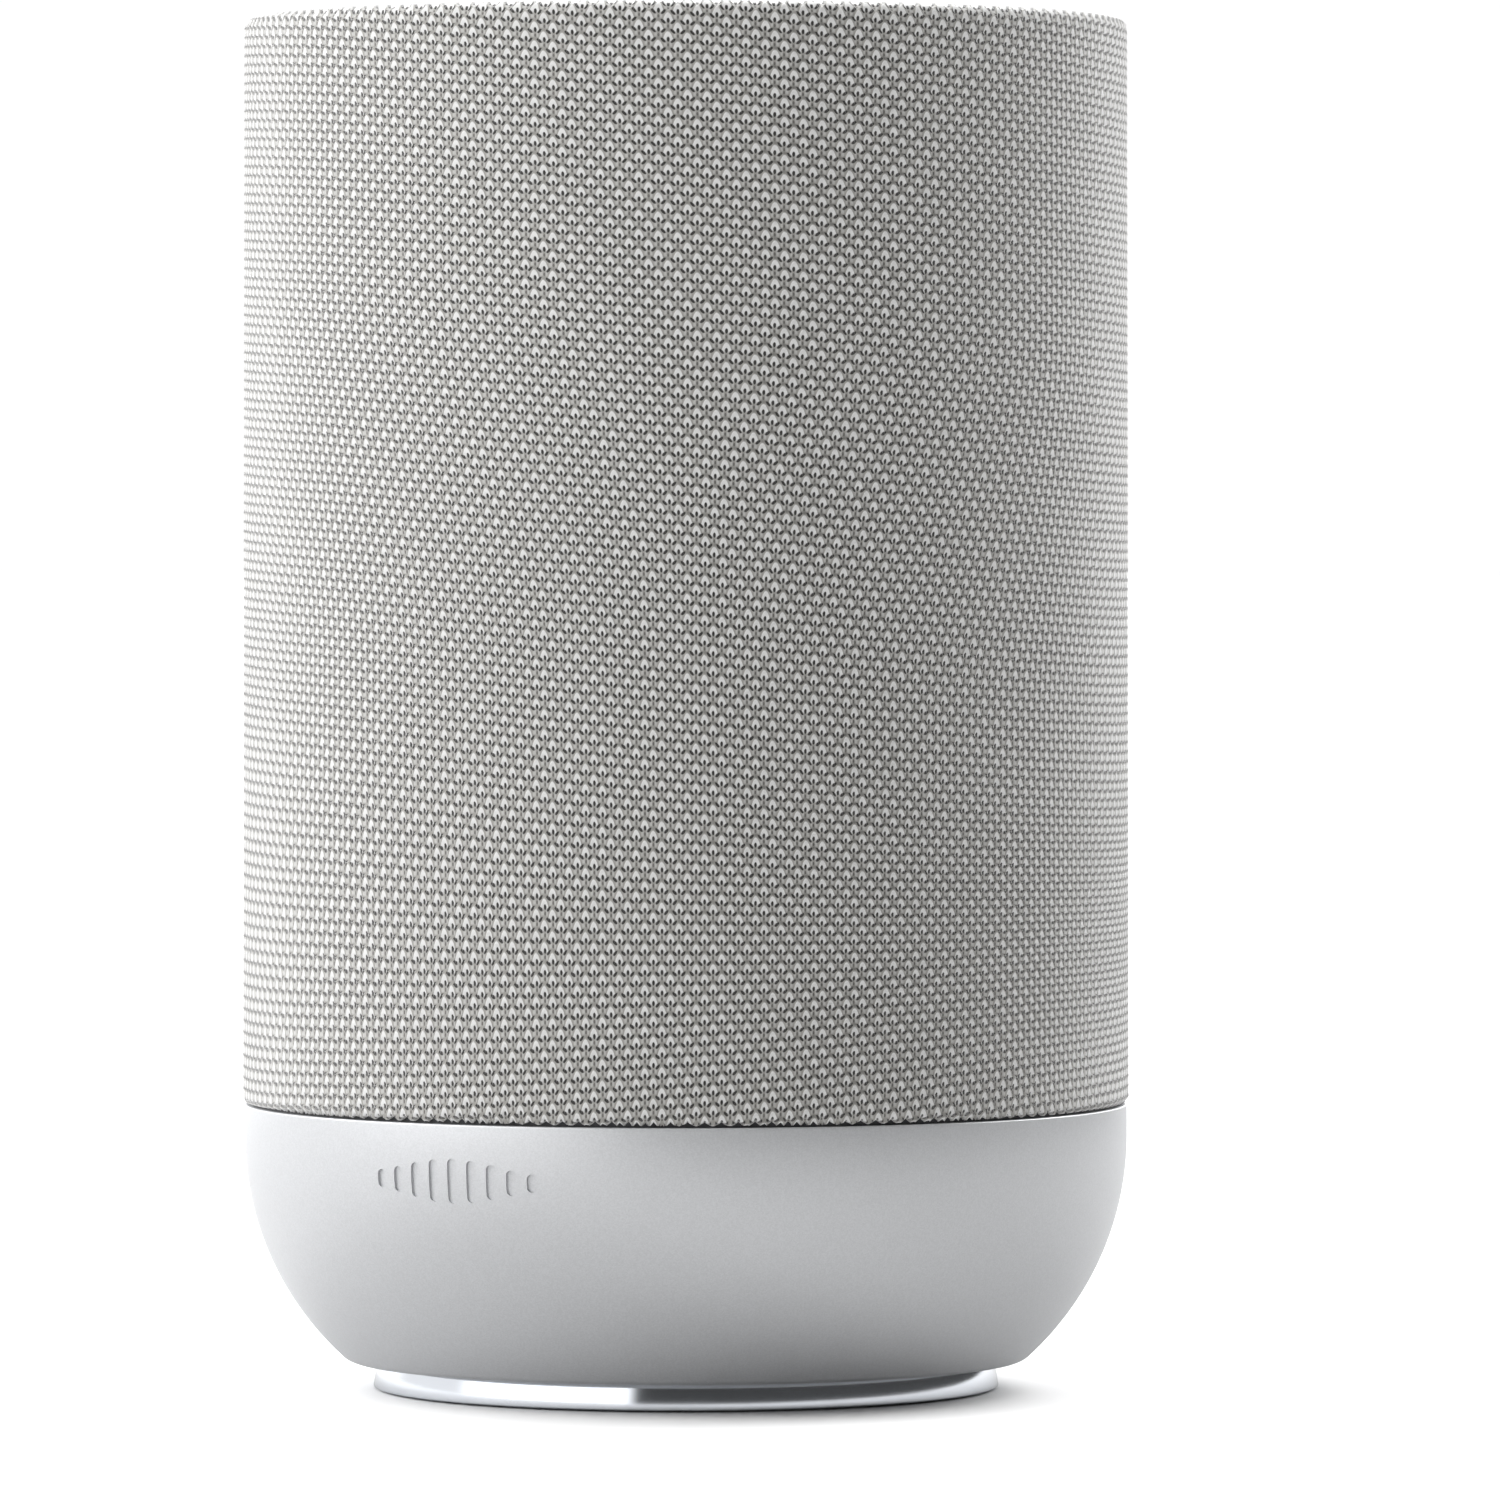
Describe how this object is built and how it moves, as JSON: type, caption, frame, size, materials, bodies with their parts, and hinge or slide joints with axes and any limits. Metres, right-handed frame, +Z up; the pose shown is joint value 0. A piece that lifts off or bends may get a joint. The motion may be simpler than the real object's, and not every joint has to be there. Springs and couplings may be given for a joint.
{
  "type": "smart speaker",
  "caption": "Tabletop smart speaker: upright cylinder with a knitted sleeve, a rounded satin metal bowl base on a polished foot ring, a touch top and a rear port bay.",
  "frame": {"origin": "middle of the underside, on the surface that the foot pad stands on", "axes": "+Z up, -Y towards the front with the level-bar mark, +Y towards the port bay"},
  "size_m": [0.14, 0.14, 0.216],
  "materials": {
    "knit": "open knitted polyester, light beige-grey",
    "bowl_metal": "satin, fine bead-blasted, cool blue-grey",
    "ring_metal": "polished",
    "trim_metal": "satin",
    "foot_rubber": "matt",
    "black_plastic": "fine texture",
    "cabinet_plastic": "glass-filled, matt",
    "panel_gloss": "satin gloss",
    "light_diffuser": "milky",
    "marks_white": "printed",
    "button_plastic": "satin",
    "socket_plastic": "satin",
    "plated_steel": "zinc plated",
    "brass": "machined",
    "circuit_board": "solder mask",
    "power_circuit": "phenolic board",
    "sink_metal": "extruded",
    "magnet": "ferrite",
    "coil_copper": "enamelled wire",
    "cone_paper": "pressed pulp",
    "spider_cloth": "impregnated cloth",
    "surround_rubber": "matt",
    "dome_silk": "coated silk",
    "cable_sheath": "PVC",
    "flat_cable": "flat cable"
  },
  "bodies": {
    "housing": {"foot_pad": "foot_rubber", "foot_ring": "ring_metal", "bottom_plate": "black_plastic", "threaded_insert": "brass", "base_screws": "plated_steel", "base_shell": "bowl_metal", "port_panel": "black_plastic", "port_board": "circuit_board", "mains_inlet": "socket_plastic", "inlet_pins": "plated_steel", "mains_leads": "cable_sheath", "usb_socket": "plated_steel", "aux_jack": "socket_plastic", "power_board": "power_circuit", "board_spacers": "brass", "main_board": "circuit_board", "board_screws": "plated_steel", "heat_sink": "sink_metal", "radio_module": "plated_steel", "antennas": "brass", "ribbon_cable": "flat_cable", "speaker_leads": "cable_sheath", "chassis": "black_plastic", "chassis_screws": "plated_steel", "cabinet_floor": "cabinet_plastic", "cabinet_gasket": "foot_rubber", "cabinet": "cabinet_plastic", "cabinet_screws": "plated_steel", "woofer_gasket": "foot_rubber", "woofer_basket": "black_plastic", "woofer_front_plate": "plated_steel", "woofer_magnet": "magnet", "woofer_yoke": "plated_steel", "woofer_spider": "spider_cloth", "woofer_surround": "surround_rubber", "woofer_screws": "plated_steel", "tweeter_left_frame": "black_plastic", "tweeter_left_motor": "magnet", "tweeter_right_frame": "black_plastic", "tweeter_right_motor": "magnet", "tweeter_screws": "plated_steel", "radiator_frame": "black_plastic", "radiator_surround": "surround_rubber", "radiator_screws": "plated_steel", "grille_frame": "black_plastic", "fabric_sleeve": "knit", "top_ring": "trim_metal", "light_guide": "light_diffuser", "top_panel": "panel_gloss", "control_marks": "marks_white", "touch_board": "circuit_board", "microphones": "brass"},
    "woofer_moving_parts": {"voice_coil": "coil_copper", "woofer_cone": "cone_paper", "dust_cap": "cone_paper"},
    "tweeter_left_diaphragm": {"tweeter_left_dome": "dome_silk"},
    "tweeter_right_diaphragm": {"tweeter_right_dome": "dome_silk"},
    "radiator_moving_parts": {"radiator_diaphragm": "cone_paper"},
    "pairing_button_cap": {"pairing_button": "button_plastic"},
    "mic_switch_slider": {"mic_switch": "button_plastic"}
  },
  "joints": [
    {"name": "woofer_excursion", "type": "slide", "parent": "housing", "child": "woofer_moving_parts", "axis": [0, -1, 0], "range_m": [-0.004, 0.004], "stiffness_N_per_m": 1300, "deforming": ["woofer_surround", "woofer_spider"]},
    {"name": "tweeter_left_excursion", "type": "slide", "parent": "housing", "child": "tweeter_left_diaphragm", "axis": [-0.5736, -0.8192, 0], "range_m": [-0.0003, 0.0003], "stiffness_N_per_m": 900},
    {"name": "tweeter_right_excursion", "type": "slide", "parent": "housing", "child": "tweeter_right_diaphragm", "axis": [0.5736, -0.8192, 0], "range_m": [-0.0003, 0.0003], "stiffness_N_per_m": 900},
    {"name": "radiator_excursion", "type": "slide", "parent": "housing", "child": "radiator_moving_parts", "axis": [0, 1, 0], "range_m": [-0.005, 0.005], "stiffness_N_per_m": 700, "deforming": ["radiator_surround"]},
    {"name": "pairing_button_press", "type": "slide", "parent": "housing", "child": "pairing_button_cap", "axis": [0, -1, 0], "range_m": [0, 0.0008], "stiffness_N_per_m": 1500},
    {"name": "mic_switch_slide", "type": "slide", "parent": "housing", "child": "mic_switch_slider", "axis": [1, 0, 0], "range_m": [0, 0.003]}
  ]
}
